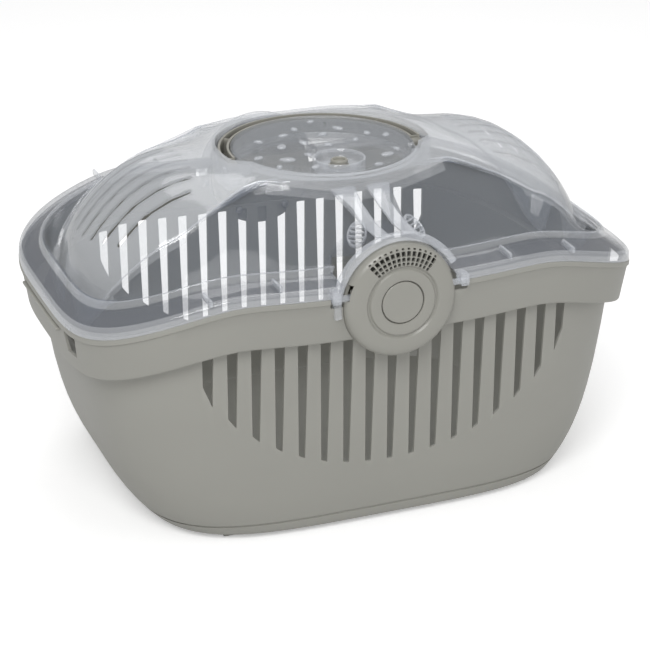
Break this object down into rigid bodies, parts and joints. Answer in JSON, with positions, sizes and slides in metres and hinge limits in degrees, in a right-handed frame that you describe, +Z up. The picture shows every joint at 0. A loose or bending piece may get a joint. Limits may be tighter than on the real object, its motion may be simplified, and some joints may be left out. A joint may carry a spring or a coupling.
{
  "type": "small pet carrier",
  "caption": "Slotted plastic tub for carrying a small pet, with a clear hinged lid, round push-button latches and a folding bail handle.",
  "frame": {"origin": "on the floor under the middle of the tub, level with the feet", "axes": "+X along the length, -Y towards the front latch, +Z up"},
  "size_m": [0.485, 0.3372, 0.276],
  "materials": {
    "grey_plastic": "satin",
    "latch_plastic": "satin gloss",
    "clear_plastic": "clear",
    "pin_steel": "satin"
  },
  "bodies": {
    "tub": {"tub": "grey_plastic", "feet": "grey_plastic", "front_latch_cover": "latch_plastic", "front_backplate": "grey_plastic", "front_latch_screws": "pin_steel", "front_button_spring": "pin_steel", "rear_latch_cover": "latch_plastic", "rear_backplate": "grey_plastic", "rear_latch_screws": "pin_steel", "rear_button_spring": "pin_steel"},
    "lid": {"lid": "clear_plastic", "port_plug": "grey_plastic", "handle_pins": "pin_steel", "front_lid_pins": "grey_plastic", "rear_lid_pins": "grey_plastic"},
    "handle": {"handle": "grey_plastic"},
    "front_button": {"front_button": "latch_plastic", "front_catch": "grey_plastic"},
    "rear_button": {"rear_button": "latch_plastic", "rear_catch": "grey_plastic"}
  },
  "joints": [
    {"name": "lid_hinge", "type": "hinge", "parent": "tub", "child": "lid", "pos_m": [0, 0.1632, 0.2063], "axis": [-1, 0, 0], "range_deg": [0, 95]},
    {"name": "handle_pivot", "type": "hinge", "parent": "lid", "child": "handle", "pos_m": [0, -0.006, 0.263], "axis": [1, 0, 0], "range_deg": [0, 90]},
    {"name": "front_button_push", "type": "slide", "parent": "tub", "child": "front_button", "axis": [0, 1, 0], "range_m": [0, 0.004], "stiffness_N_per_m": 600, "springref_m": -0.002, "deforming": ["front_button_spring"]},
    {"name": "rear_button_push", "type": "slide", "parent": "tub", "child": "rear_button", "axis": [0, -1, 0], "range_m": [0, 0.004], "stiffness_N_per_m": 600, "springref_m": -0.002, "deforming": ["rear_button_spring"]}
  ]
}
